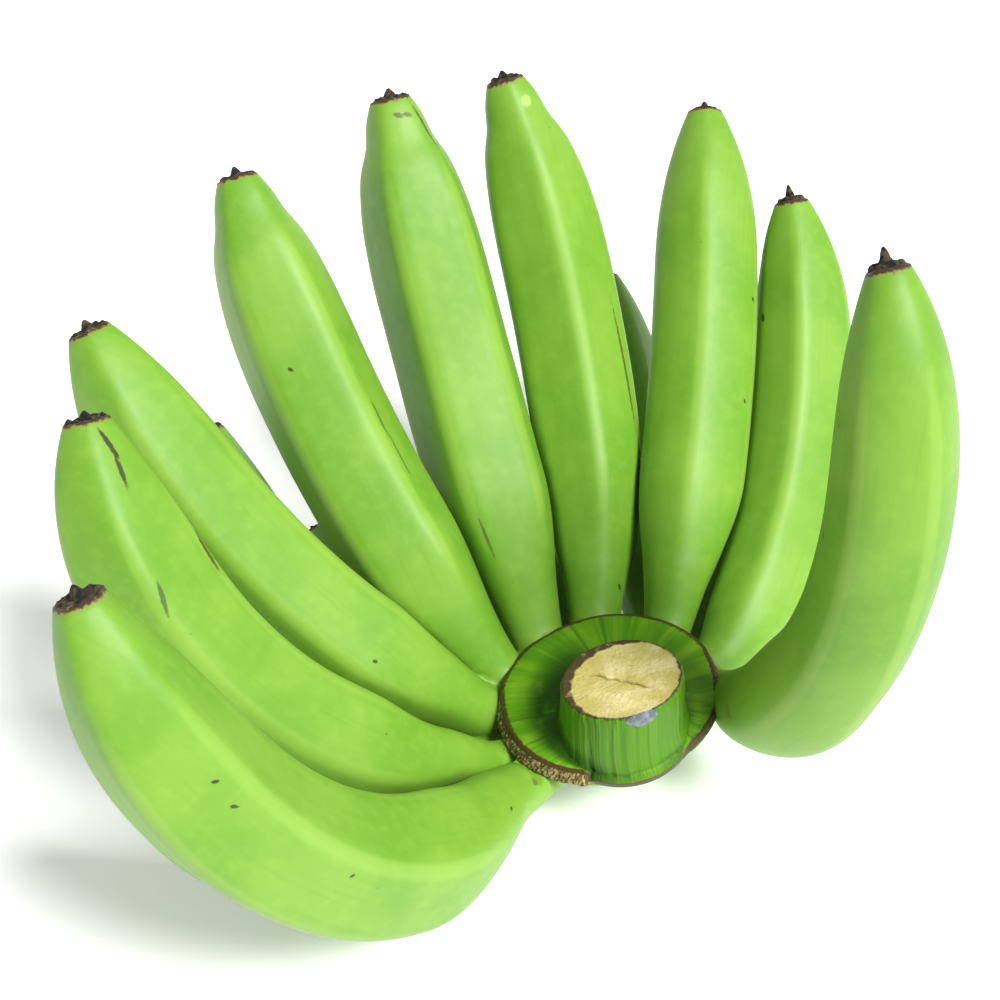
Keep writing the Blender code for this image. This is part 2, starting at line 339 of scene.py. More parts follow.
def on_stalk(right, back, up):
    """The place this many millimetres right, back and up the stalk from the collar's centre."""
    return COLLAR_CENTRE + (STALK_RIGHT * right + STALK_OUT_BACK * back + STALK_AXIS * up) * MM


def smooth_step(value):
    value = min(max(value, 0.0), 1.0)
    return value * value * (3.0 - 2.0 * value)


def rise(value, start, width):
    """0 up to the start, 1 past the width from there, and smooth between."""
    return smooth_step((value - start) / width)


def between(low, high, share):
    return low + (high - low) * share


def along_curve(points, place):
    """Height of a line of (place, height) points at this place."""
    for (low, start), (high, end) in zip(points, points[1:]):
        if place <= high:
            return between(start, end, max(place - low, 0.0) / (high - low))
    return points[-1][1]


def finger_radius(finger, share):
    """Half the finger's width at this share of its length."""
    neck = between(NECK_WIDTH, 1.0, smooth_step(share / NECK_END))
    taper = max((share - TAPER_START) / (1.0 - TAPER_START), 0.0)
    tip = 1.0 - (1.0 - TIP_WIDTH) * taper ** TAPER_POWER
    return finger.width * 0.5 * MM * neck * tip


class FingerPath:
    """The centre line of one finger: straight out of the collar, then bending to the sky."""

    def __init__(self, finger):
        self.finger = finger
        lift = math.radians(finger.lift)
        self.start = round_stalk(finger.heading) * math.cos(lift) + STALK_AXIS * math.sin(lift)
        self.inward = (SKYWARD - self.start * self.start.dot(SKYWARD)).normalized()
        self.leaving = round_stalk(finger.azimuth)
        root = self.leaving * ROOT_RADIUS * MM + STALK_AXIS * finger.rise * MM
        self.points = [COLLAR_CENTRE + root]
        step = finger.length * MM / PATH_STEPS
        for index in range(PATH_STEPS):
            middle = (index + 0.5) / PATH_STEPS
            self.points.append(self.points[-1] + self.direction(middle) * step)
        self.neighbours = []
        self.stations = []
        for index in range(PRESS_STATIONS + 1):
            share = between(ROOT_SUNK, 1.0, index / PRESS_STATIONS)
            self.stations.append((self.centre(share), finger_radius(finger, share)))

    def angle(self, share):
        return math.radians(self.finger.bend) * max(share, 0.0) ** BEND_POWER

    def direction(self, share):
        angle = self.angle(share)
        bent = self.start * math.cos(angle) + self.inward * math.sin(angle)
        return self.leaving.lerp(bent, smooth_step(share / self.finger.turn)).normalized()

    def outward(self, share):
        """The side of the section that faces away from the sky."""
        angle = self.angle(share)
        direction = self.direction(share)
        away = self.start * math.sin(angle) - self.inward * math.cos(angle)
        return (away - direction * away.dot(direction)).normalized()

    def centre(self, share):
        """Centre of the section, with the belly that swells outward past the neck."""
        length = self.finger.length * MM
        if share <= 0.0:
            return self.points[0] + self.leaving * share * length
        place = min(share, 1.0) * PATH_STEPS
        low = min(int(place), PATH_STEPS - 1)
        point = self.points[low].lerp(self.points[low + 1], place - low)
        point = point + self.direction(1.0) * max(share - 1.0, 0.0) * length
        swell = share / BELLY_PEAK * math.exp(1.0 - share / BELLY_PEAK)
        return point + self.outward(share) * self.finger.belly * MM * swell


def ridge_share(share):
    """How strongly the five ridges stand out here: weak at the neck and the tip."""
    return smooth_step(share / NECK_END) * (1.0 - RIDGE_LOSS * rise(share, *RIDGE_FADES))


def ridge_form(angle):
    """Height of the skin round the section: narrow ridges with broad flats between them."""
    return math.cos(RIDGES * angle) + RIDGE_SHARPNESS * math.cos(2.0 * RIDGES * angle)


class Section:
    """One section of a finger, which gives the place of any point round it."""

    def __init__(self, path, share, height=0.0):
        length = path.finger.length * MM
        self.share = share
        self.centre = path.centre(share + height * MM / length)
        self.outward = path.outward(share)
        self.side = path.direction(share).cross(self.outward)
        self.radius = finger_radius(path.finger, min(share, 1.0))
        turned, strength = RIDGES_OWN.get(path.finger.name, RIDGES_USUAL)
        self.ridge = RIDGE_HEIGHT * ridge_share(share) * strength
        self.turned = math.radians(turned)
        self.planes = []
        for neighbour in path.neighbours:
            touch = min(neighbour.stations, key=lambda item: (item[0] - self.centre).length - item[1])
            apart = touch[0] - self.centre
            distance = apart.length
            reach = (distance ** 2 + self.radius ** 2 - touch[1] ** 2) / (2.0 * distance)
            reach -= PRESS_GAP * 0.5 * MM
            if reach < self.radius * (1.0 + RIDGE_HEIGHT) + SOFT_EDGE * MM:
                self.planes.append((apart / distance, reach))
        self.centre = self.centre + neck_shift(path, self.centre) + drift_of(path.finger, share)
        self.radius *= fullness_of(path.finger, share)

    def place(self, angle, girth):
        """The point at this angle from the outward side, girth times the section's reach out."""
        spoke = self.outward * math.cos(angle) + self.side * math.sin(angle)
        reach = self.radius * (1.0 + self.ridge * ridge_form(angle - self.turned))
        for away, limit in self.planes:
            if spoke.dot(away) > PRESS_FACING:
                reach = soft_least(reach, limit / spoke.dot(away))
        return self.centre + spoke * reach * girth


def soft_least(first, second):
    """The smaller of two lengths, rounded where they meet."""
    near = max(SOFT_EDGE * MM - abs(first - second), 0.0) / (SOFT_EDGE * MM)
    return min(first, second) - near * near * SOFT_EDGE * MM / 4.0


def neck_shift(path, centre):
    """How far a neck runs beside its finger's own line here, with the collar's edge over it."""
    if path.finger not in UPPER_ROW:
        return Vector((0.0, 0.0, 0.0))
    from_centre = centre - COLLAR_CENTRE
    out = (from_centre - STALK_AXIS * from_centre.dot(STALK_AXIS)).length / MM
    down, back = SHIFT_OWN.get(path.finger.name, SHIFT_USUAL)
    fade = 1.0 - rise(out - COLLAR_RADIUS, *SHIFT_FADES)
    return (STALK_OUT_BACK * back - STALK_AXIS * down) * fade * MM


def drift_of(finger, share):
    """How far to the right of its plane a finger stands here."""
    root, tip = DRIFT.get(finger.name, (0.0, 0.0))
    return Vector((between(root, tip, max(share, 0.0) ** DRIFT_POWER), 0.0, 0.0)) * MM


def fullness_of(finger, share):
    """Share of the usual girth here: some necks are fuller or thinner, and some tips have a waist."""
    extra = NECK_FULL.get(finger.name, 0.0)
    grown = rise(share, *FULL_GROWS) if extra > 0.0 else 1.0
    neck = extra * grown * (1.0 - rise(share, *FULL_FADES))
    waist = TIP_WAIST.get(finger.name, 0.0) * math.exp(-((share - WAIST_AT) / WAIST_REACH) ** 2)
    return 1.0 + neck - waist


def under_dish(point):
    """Keeps a point of a neck that is inside the collar's edge below the collar's skin."""
    from_centre = point - COLLAR_CENTRE
    up = from_centre.dot(STALK_AXIS) / MM
    out = (from_centre - STALK_AXIS * up * MM).length / MM
    lid = along_curve(DISH_HEIGHT, out) - LID_DEPTH
    if out < COLLAR_RADIUS - LID_MARGIN:
        return point + STALK_AXIS * min(lid - up, 0.0) * MM
    back = from_centre.dot(STALK_OUT_BACK) / MM - STUB_BACK
    right = from_centre.dot(STALK_RIGHT) / MM - STUB_RIGHT
    degrees = math.degrees(math.atan2(back, right))
    edge = CORK_FOOT + max(out - CORK_OUT, 0.0) * CORK_RISE
    return point + STALK_AXIS * min(edge - up, 0.0) * cork_share(degrees) * MM


def all_paths():
    """The centre lines of both rows, each with the neighbours that can press on it."""
    paths = [FingerPath(finger) for finger in UPPER_ROW + LOWER_ROW]
    for path in paths:
        for other in paths:
            apart = abs(path.finger.azimuth - other.finger.azimuth)
            if other is not path and min(apart, 360.0 - apart) < PRESS_REACH:
                path.neighbours.append(other)
    return paths


def deselect_all():
    if bpy.context.mode != "OBJECT":
        bpy.ops.object.mode_set(mode="OBJECT")
    bpy.ops.object.select_all(action="DESELECT")


def take_up(thing):
    """Selects one piece alone and makes it the active one."""
    deselect_all()
    thing.select_set(True)
    bpy.context.view_layer.objects.active = thing


def face_outwards(thing):
    take_up(thing)
    bpy.ops.object.mode_set(mode="EDIT")
    bpy.ops.mesh.select_all(action="SELECT")
    bpy.ops.mesh.normals_make_consistent(inside=False)
    bpy.ops.object.mode_set(mode="OBJECT")
    bpy.ops.object.shade_smooth()


def upright_tube(name, rings, sides):
    """A closed round solid stood upright, extruded from ring to ring of (height, girth)."""
    deselect_all()
    bpy.ops.mesh.primitive_circle_add(vertices=sides, radius=1.0, fill_type="NGON", location=(0, 0, 0))
    tube = bpy.context.active_object
    tube.name = name
    bpy.ops.object.mode_set(mode="EDIT")
    bpy.ops.mesh.select_all(action="SELECT")
    bpy.ops.transform.resize(value=(rings[0][1], rings[0][1], 1.0))
    bpy.ops.transform.translate(value=(0.0, 0.0, rings[0][0]))
    for (height, girth), (next_height, next_girth) in zip(rings, rings[1:]):
        upward = {"value": (0.0, 0.0, next_height - height)}
        bpy.ops.mesh.extrude_region_move(TRANSFORM_OT_translate=upward)
        if abs(next_girth - girth) > 1e-6:
            bpy.ops.transform.resize(value=(next_girth / girth, next_girth / girth, 1.0))
    bpy.ops.object.mode_set(mode="OBJECT")
    return tube


def round_place(point):
    """Angle and distance of a point from the upright axis."""
    return math.atan2(point.y, point.x), math.hypot(point.x, point.y)


def copy_of(pattern, name):
    """A copy with its own mesh."""
    take_up(pattern)
    bpy.ops.object.duplicate(linked=False)
    made = bpy.context.active_object
    made.name = name
    return made


def finger_rings():
    """Rings of the upright finger: heights up to 1 are skin, and above 1 the dried flower end."""
    rings = []
    for index in range(SKIN_RINGS + 1):
        rings.append((between(SKIN_START, 1.0, index / SKIN_RINGS), 1.0))
    for height, girth in FLOWER_END:
        rings.append((1.0 + height, girth))
    return rings


def keep_values(mesh, titles_and_values):
    """Keeps named numbers on the mesh, one for each of its points."""
    for title, values in titles_and_values:
        kept = mesh.attributes.new(title, "FLOAT", "POINT")
        kept.data.foreach_set("value", values)


def empty_slots(mesh, count):
    """Makes room for this many materials."""
    for _ in range(count):
        mesh.materials.append(None)


def weathered(point, section, direction, girth, above):
    """Gives a point of the skin its gentle swells, and a point of the flower its torn form."""
    if above > FLOWER_START:
        torn = noise.noise(point * TORN_WAVES) * (TORN_OUTER if girth > INNER_GIRTH else TORN_INNER)
        point = point + direction * torn * above ** 0.5 * MM
        return point + (point - section.centre) * noise.noise(point * TWIST_WAVES) * TWIST_REACH
    swell = sum(noise.noise(point * waves) * height for waves, height in SKIN_SWELLS)
    out = (point - section.centre).normalized()
    return point + out * swell * rise(section.share, *SWELLS_GROW) * MM


def lay_lengthwise(mesh, finger, round_mm, along_mm):
    """The skin unrolled in millimetres, round and along the finger, with one seam away from the sky."""
    lengthwise = mesh.uv_layers.new(name="lengthwise")
    for face in mesh.polygons:
        arcs = [round_mm[mesh.loops[loop].vertex_index] for loop in face.loop_indices]
        crossing = max(arcs) - min(arcs) > 0.5 * finger.width
        for loop, arc in zip(face.loop_indices, arcs):
            vertex = mesh.loops[loop].vertex_index
            if crossing and arc < 0.0:
                arc += 2.0 * math.pi * finger_radius(finger, along_mm[vertex] / finger.length) / MM
            lengthwise.data[loop].uv = (arc, along_mm[vertex])


def make_finger(pattern, path):
    """Carries a copy of the upright finger along its path, and keeps how it lies for its marks."""
    finger = path.finger
    thing = copy_of(pattern, "skin_of_" + finger.name)
    mesh = thing.data
    sections = {}
    round_mm, along_mm, ridges, dry = [], [], [], []
    for vert in mesh.vertices:
        key = round(vert.co.z, 5)
        angle, girth = round_place(vert.co)
        if key not in sections:
            sections[key] = Section(path, min(key, 1.0), max(key - 1.0, 0.0) * finger.remnant)
        section = sections[key]
        above = max(vert.co.z - 1.0, 0.0)
        point = weathered(section.place(angle, girth), section, path.direction(1.0), girth, above)
        point.z = max(point.z, 0.0)
        vert.co = point
        inner = math.atan2(math.sin(angle + math.pi), math.cos(angle + math.pi))
        round_mm.append(inner * section.radius / MM)
        along_mm.append(section.share * finger.length)
        ridges.append(ridge_form(angle - section.turned) * ridge_share(section.share))
        dry.append(above)
    lay_lengthwise(mesh, finger, round_mm, along_mm)
    keep_values(mesh, (("ridge", ridges), ("dry", dry)))
    empty_slots(mesh, 2)
    for face in mesh.polygons:
        face.material_index = 1 if min(dry[v] for v in face.vertices) > DRY_SKIN_END else 0
    face_outwards(thing)
    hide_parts(finger.name)
    return thing


def make_neck(pattern, path):
    """The root of a finger, sunk into the collar, which ends tapering under the finger's skin."""
    thing = copy_of(pattern, "neck_of_" + path.finger.name)
    sections = {}
    for vert in thing.data.vertices:
        key = round(vert.co.z, 5)
        angle, girth = round_place(vert.co)
        if key not in sections:
            sections[key] = Section(path, key)
        narrowed = rise(key, NECK_NARROWS, NECK_STOP - NECK_NARROWS)
        fullness = between(NECK_ROOT_GIRTH, NECK_STOP_GIRTH, narrowed)
        vert.co = under_dish(sections[key].place(angle, girth * fullness))
    face_outwards(thing)
    return thing


def turned_body(name, profile, back):
    """A round solid along the stalk, extruded through (radius, height) rings in millimetres."""
    rings = [(height, radius) for radius, height in profile]
    thing = upright_tube(name, rings, BODY_SIDES)
    for vert in thing.data.vertices:
        vert.co = on_stalk(vert.co.x, back + vert.co.y, vert.co.z)
    face_outwards(thing)
    return thing


def make_web(paths):
    """All the necks, grown together with the body of the collar."""
    rings = []
    for index in range(NECK_RINGS + 1):
        rings.append((between(ROOT_SUNK, NECK_STOP, index / NECK_RINGS), 1.0))
    pattern = upright_tube("upright_neck", rings, NECK_SIDES)
    parts = [make_neck(pattern, path) for path in paths]
    parts.append(turned_body("collar_body", COLLAR_BODY, 0.0))
    parts.append(turned_body("cushion_body", CUSHION_BODY, CUSHION_BACK))
    bpy.data.objects.remove(pattern)
    take_up(parts[-1])
    for part in parts:
        part.select_set(True)
    bpy.ops.object.join()
    web = bpy.context.active_object
    web.name = "necks_and_crown"
    remesh = web.modifiers.new("grow_together", "REMESH")
    remesh.mode = "VOXEL"
    remesh.voxel_size = WEB_VOXEL * MM
    bpy.ops.object.modifier_apply(modifier=remesh.name)
    near_collar = web.vertex_groups.new(name="near_collar")
    for vert in web.data.vertices:
        from_centre = vert.co - COLLAR_CENTRE
        up = from_centre.dot(STALK_AXIS)
        out = (from_centre - STALK_AXIS * up).length / MM
        near_collar.add([vert.index], 1.0 - rise(out, *FILLET_FADES), "REPLACE")
    for title, turns, group in (("even_skin", EVEN_TURNS, ""), ("fillets", FILLET_TURNS, "near_collar")):
        smooth = web.modifiers.new(title, "SMOOTH")
        smooth.factor = 0.5
        smooth.iterations = turns
        smooth.vertex_group = group
        bpy.ops.object.modifier_apply(modifier=smooth.name)
    for vert in web.data.vertices:
        vert.co = under_dish(vert.co)
        vert.co.z = max(vert.co.z, 0.0)
    face_outwards(web)
    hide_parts("crown")
    return web


def rim_reach(degrees):
    """Distance from the stub's centre to the collar's edge in this direction."""
    angle = math.radians(degrees)
    forward = STUB_RIGHT * math.cos(angle) + STUB_BACK * math.sin(angle)
    inside = COLLAR_RADIUS ** 2 - STUB_RIGHT ** 2 - STUB_BACK ** 2
    return -forward + math.sqrt(forward ** 2 + inside)


def collar_share(degrees):
    """1 where the collar stands round the stub, 0 in front, where the stub's side runs down alone."""
    degrees = degrees % 360.0
    if degrees > FRONT_HALF:
        return rise(degrees, *COLLAR_GROWS)
    return 1.0 - rise(degrees, *COLLAR_ENDS)


def cork_share(degrees):
    """Where the collar's edge is a corky scar, by degrees round the stub."""
    degrees = degrees % 360.0
    left, right = (rise(degrees, *grows) * (1.0 - rise(degrees, *ends))
                   for grows, ends in (CORK_LEFT, CORK_RIGHT))
    return max(left, CORK_RIGHT_STRENGTH * right)


def from_collar(reach, degrees):
    """Distance from the collar's centre of the place this far from the stub's centre."""
    angle = math.radians(degrees)
    return math.hypot(STUB_RIGHT + reach * math.cos(angle), STUB_BACK + reach * math.sin(angle))


def collar_point(kind, step, degrees):
    """Reach from the stub's centre and height up the stalk of one point of the skin, in mm."""
    full = collar_share(degrees)
    cork = CORK_STEP * cork_share(degrees)
    foot_reach = STUB_RADIUS + FOOT_SPREAD
    rim = max(rim_reach(degrees) - cork, foot_reach + FOOT_MARGIN)
    if kind == "cut":
        reach = (STUB_RADIUS - CUT_INSET) * max(step, CUT_INNERMOST)
        return reach, STUB_TOP + CUT_TURN * step ** CUT_TURN_POWER
    if kind == "side":
        foot = between(FRONT_FOOT, along_curve(DISH_HEIGHT, from_collar(foot_reach, degrees)), full)
        down = between(step, smooth_step(step * SIDE_GATHERS), SIDE_GATHERED)
        reach = between(SIDE_TOP_RADIUS, SIDE_FOOT_RADIUS, step)
        return reach + FOOT_SWELL * full * rise(step, *FOOT_GROWS), between(SIDE_TOP, foot, down)
    if kind == "dish":
        reach = between(foot_reach, rim, step)
        alone = between(FRONT_FOOT, FRONT_EDGE, step)
        hollow = -DISH_HOLLOW * math.sin(math.pi * step) ** 2
        dish = along_curve(DISH_HEIGHT, from_collar(reach, degrees)) + hollow
        return reach, between(alone, dish, full)
    grown_out = along_curve(EDGE_OUT, step) + cork * min(step / EDGE_CORNER, 1.0)
    grown_height = along_curve(DISH_HEIGHT, COLLAR_RADIUS) - along_curve(EDGE_DROP, step)
    alone_height = FRONT_EDGE - along_curve(FRONT_DROP, step)
    return (rim + between(along_curve(FRONT_OUT, step), grown_out, full),
            between(alone_height, grown_height, full))


def ripple(ray, waves, depth):
    """Noise round the stub, which changes with depth."""
    return noise.noise(Vector((ray.x * waves, ray.y * waves, depth)))


def crack_depth(right, back):
    """How deep the shrinkage crack across the cut face is here, in millimetres."""
    line = CRACK_MIDDLE + CRACK_SLOPE * right + noise.noise(Vector((right * CRACK_WAVES, 0.0, 5.0)))
    share = 1.0 - rise(abs(right + CRACK_LEFT), *CRACK_FADES)
    return CRACK_DEPTH * share * math.exp(-((back - line) / CRACK_WIDTH) ** 2)


def cut_relief(step, angle, ray, reach):
    """Fibres, crack and dried rim of the cut face: how far out and up, scar and cork."""
    fibre = noise.noise(Vector((ray.x * reach, ray.y * reach, 0.0)) * FIBRE_WAVES) * FIBRE_HEIGHT
    crack = crack_depth(ray.x * reach, ray.y * reach)
    thick = RIM_EXTRA * max(math.cos(angle - math.radians(RIM_THICKEST)), 0.0)
    return 0.0, fibre - crack, rise(step + thick, RIM_START, RIM_WIDTH), crack / CRACK_DEPTH


def side_relief(step, ray):
    """Flutes of the stub's side and its ragged upper end: how far out and up, scar and cork."""
    flutes = sum(ripple(ray, waves, step * down) * height for waves, down, height in FLUTES)
    ragged = ripple(ray, RAGGED_WAVES, 3.0) * (1.0 - smooth_step(step * RAGGED_FADES))
    out = flutes * smooth_step(step * FLUTES_GROW) + RAGGED_OUT * ragged
    return out, RAGGED_UP * ragged, 1.0 - smooth_step(step * RIM_FADES), 0.0


def collar_relief(kind, step, degrees, ray):
    """Folds of the collar and the cork of its edge: how far out and up, scar and cork."""
    fold = ripple(ray, FOLD_WAVES, 8.0 + step * 0.4) * FOLD_HEIGHT * collar_share(degrees)
    if kind == "dish":
        return 0.0, fold, rise(step, *DISH_SCAR), 0.0
    cork = cork_share(degrees) * rise(step, *CORK_GROWS)
    out = cork * (CORK_BASE + CORK_CELLS * ripple(ray, CORK_WAVES, step * 3.0))
    return out, fold * (1.0 - step), 1.0 - rise(step, *EDGE_SCAR), cork


def stub_relief(kind, step, degrees, ray, reach):
    """The small forms of the stub and collar: how far out and up, scar and cork."""
    if kind == "cut":
        return cut_relief(step, math.radians(degrees), ray, reach)
    if kind == "side":
        return side_relief(step, ray)
    return collar_relief(kind, step, degrees, ray)


def make_collar():
    """The stub with its cut face, and the collar that stands round it like a horseshoe."""
    plan = [("cut", index / CUT_RINGS) for index in range(CUT_RINGS + 1)]
    for kind, count in (("side", SIDE_RINGS), ("dish", DISH_RINGS), ("edge", EDGE_RINGS)):
        plan += [(kind, index / count) for index in range(1, count + 1)]
    rings = [(float(index), 1.0) for index in range(len(plan))]
    thing = upright_tube("stalk_stub_and_collar", rings, COLLAR_SIDES)
    mesh = thing.data
    streaks, scars, corks = [], [], []
    for vert in mesh.vertices:
        kind, step = plan[int(round(vert.co.z))]
        degrees = math.degrees(math.atan2(vert.co.y, vert.co.x))
        angle = math.radians(degrees)
        ray = Vector((math.cos(angle), math.sin(angle), 0.0))
        reach, height = collar_point(kind, step, degrees)
        out, up, scar, cork = stub_relief(kind, step, degrees, ray, reach)
        reach += out
        height += up
        if kind != "cut":
            groove = math.exp(-((degrees % 360.0 - GROOVE_AT) / GROOVE_REACH) ** 2)
            reach -= GROOVE_DEPTH * groove * rise(STUB_TOP - height, *GROOVE_GROWS)
        raised = rise(height, *LEAN_GROWS)
        height += raised * (CUT_RAISE - CUT_SLOPE * ray.y * reach)
        right = STUB_RIGHT + STUB_LEAN * raised + ray.x * reach
        vert.co = on_stalk(right, STUB_BACK + ray.y * reach, height)
        grown_to = GROWTH.index(kind) + step
        if grown_to > 2.0:
            grown_to = between(SIDE_GROWTH, grown_to, collar_share(degrees))
        streaks.extend((ray.x, ray.y, grown_to))
        scars.append(scar)
        corks.append(cork)
    grown = mesh.attributes.new("growth", "FLOAT_VECTOR", "POINT")
    grown.data.foreach_set("vector", streaks)
    keep_values(mesh, (("scar", scars), ("cork", corks)))
    empty_slots(mesh, 3)
    for face in mesh.polygons:
        if max(streaks[3 * v + 2] for v in face.vertices) <= CUT_GROWTH:
            face.material_index = 1
        elif min(corks[v] for v in face.vertices) > CORK_LEAST:
            face.material_index = 2
    face_outwards(thing)
    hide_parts("crown")
    return thing


def make_latex_drop():
    """Dried sap that ran from the cut over the front of the stub's rim."""
    deselect_all()
    bpy.ops.mesh.primitive_uv_sphere_add(segments=40, ring_count=24, radius=1.0, location=(0, 0, 0))
    drop = bpy.context.active_object
    drop.name = "dried_latex_drop"
    for vert in drop.data.vertices:
        narrowed = 1.0 - DROP_NARROWS * max(-vert.co.z, 0.0) ** 2
        across = vert.co.x * DROP_HALF_WIDTH * narrowed
        wobble = noise.noise(vert.co * WOBBLE_WAVES) * WOBBLE_REACH
        angle = math.radians(DROP_AT) + (across + wobble) / STUB_RADIUS
        out = SIDE_TOP_RADIUS + DROP_THICKNESS * vert.co.y
        height = STUB_TOP + DROP_RAISE + DROP_HALF_HEIGHT * vert.co.z + wobble
        right = STUB_RIGHT + STUB_LEAN + math.cos(angle) * out
        vert.co = on_stalk(right, STUB_BACK + math.sin(angle) * out, height)
    face_outwards(drop)
    return drop


def linear(hex_colour):
    """An sRGB hex colour as the linear colour that the shader takes."""
    values = [int(hex_colour[place:place + 2], 16) / 255.0 for place in (1, 3, 5)]
    return tuple(v / 12.92 if v <= 0.04045 else ((v + 0.055) / 1.055) ** 2.4 for v in values) + (1.0,)


def add(tree, kind, inputs=(), **settings):
    """Adds one node. An input's value is a number, a colour, or another node's output."""
    made = tree.nodes.new("ShaderNode" + kind)
    for title, value in settings.items():
        setattr(made, title, value)
    for place, value in dict(inputs).items():
        if isinstance(value, bpy.types.NodeSocket):
            tree.links.new(value, made.inputs[place])
        else:
            made.inputs[place].default_value = value
    return made


def fresh_material(name, roughness, **sockets):
    """A material with one Principled shader, and its number sockets set."""
    material = bpy.data.materials.new(name)
    material.use_nodes = True
    tree = material.node_tree
    surface = tree.nodes["Principled BSDF"]
    surface.inputs["Roughness"].default_value = roughness
    for title, value in sockets.items():
        surface.inputs[title.replace("_", " ")].default_value = value
    return material, tree, surface


def mixed(tree, share, first, second):
    """One colour laid over another by a share."""
    inputs = {"Factor": share, 6: first, 7: second}
    return add(tree, "Mix", inputs, data_type="RGBA").outputs[2]


def ramp(tree, value, low, high):
    """0 below low, 1 above high, and smooth between."""
    inputs = {"Value": value, "From Min": low, "From Max": high}
    return add(tree, "MapRange", inputs, interpolation_type="SMOOTHSTEP").outputs[0]


def times(tree, first, second):
    return add(tree, "Math", {0: first, 1: second}, operation="MULTIPLY").outputs[0]


def plus(tree, first, second):
    return add(tree, "Math", {0: first, 1: second}, operation="ADD").outputs[0]


def noise_of(tree, vector, scale, detail=2.0):
    """Noise over the piece. The scale counts per metre: 1000 makes a pattern of 1 mm."""
    inputs = {"Vector": vector, "Scale": scale, "Detail": detail}
    return add(tree, "TexNoise", inputs).outputs[0]


def stretched_noise(tree, vector, stretch, detail=2.0):
    """Noise whose pattern is squeezed along each axis by its own number."""
    squeezed = add(tree, "Mapping", {"Vector": vector, "Scale": stretch}).outputs[0]
    return noise_of(tree, squeezed, 1.0, detail)


def piece_place(tree):
    """The place on the piece itself, in metres."""
    return add(tree, "TexCoord").outputs["Object"]


def attribute_of(tree, title, output="Fac"):
    return add(tree, "Attribute", attribute_name=title).outputs[output]


def laid_over(tree, colour, share, hex_colour, strength=1.0):
    """Lays a colour over another by a share, at most as far as the strength."""
    if strength < 1.0:
        share = times(tree, share, strength)
    return mixed(tree, share, colour, linear(hex_colour))


def bump_of(tree, height, distance, strength=1.0):
    inputs = {"Height": height, "Distance": distance, "Strength": strength}
    return add(tree, "Bump", inputs).outputs[0]


def dress(tree, surface, colour, bump=None):
    """Joins the colour and the bump to the shader."""
    tree.links.new(colour, surface.inputs["Base Color"])
    if bump is not None:
        tree.links.new(bump, surface.inputs["Normal"])


def waxy_skin(name):
    """Surface of unripe peel, grown: a waxy bloom, so highlights are broad and pale."""
    material, tree, surface = fresh_material(name, 0.52, IOR=1.4, Specular_IOR_Level=0.6,
                                             Subsurface_Weight=0.06, Subsurface_Scale=0.003)
    surface.inputs["Subsurface Radius"].default_value = (0.5, 1.0, 0.2)
    return material, tree, surface


def pores_of(tree, place):
    """The fine pores of the peel, 1 mm apart."""
    return bump_of(tree, noise_of(tree, place, 900.0), 0.00006, 0.35)


def peel_colour(tree, place):
    """Green of the young peel, which drifts over 30 mm and mottles over 4 mm, with tiny specks."""
    drift = ramp(tree, noise_of(tree, place, 32.0), 0.35, 0.65)
    colour = mixed(tree, drift, linear("#629322"), linear("#719C2E"))
    mottle = ramp(tree, noise_of(tree, place, 240.0, 4.0), 0.42, 0.72)
    colour = laid_over(tree, colour, mottle, "#80AA3A", 0.22)
    cells = add(tree, "TexVoronoi", {"Vector": place, "Scale": 75.0})
    cell_red = add(tree, "SeparateColor", {0: cells.outputs["Color"]}).outputs[0]
    near = ramp(tree, cells.outputs["Distance"], 0.034, 0.018)
    speck = times(tree, ramp(tree, cell_red, 0.72, 0.74), near)
    return laid_over(tree, colour, speck, "#4A5A14", 0.8)


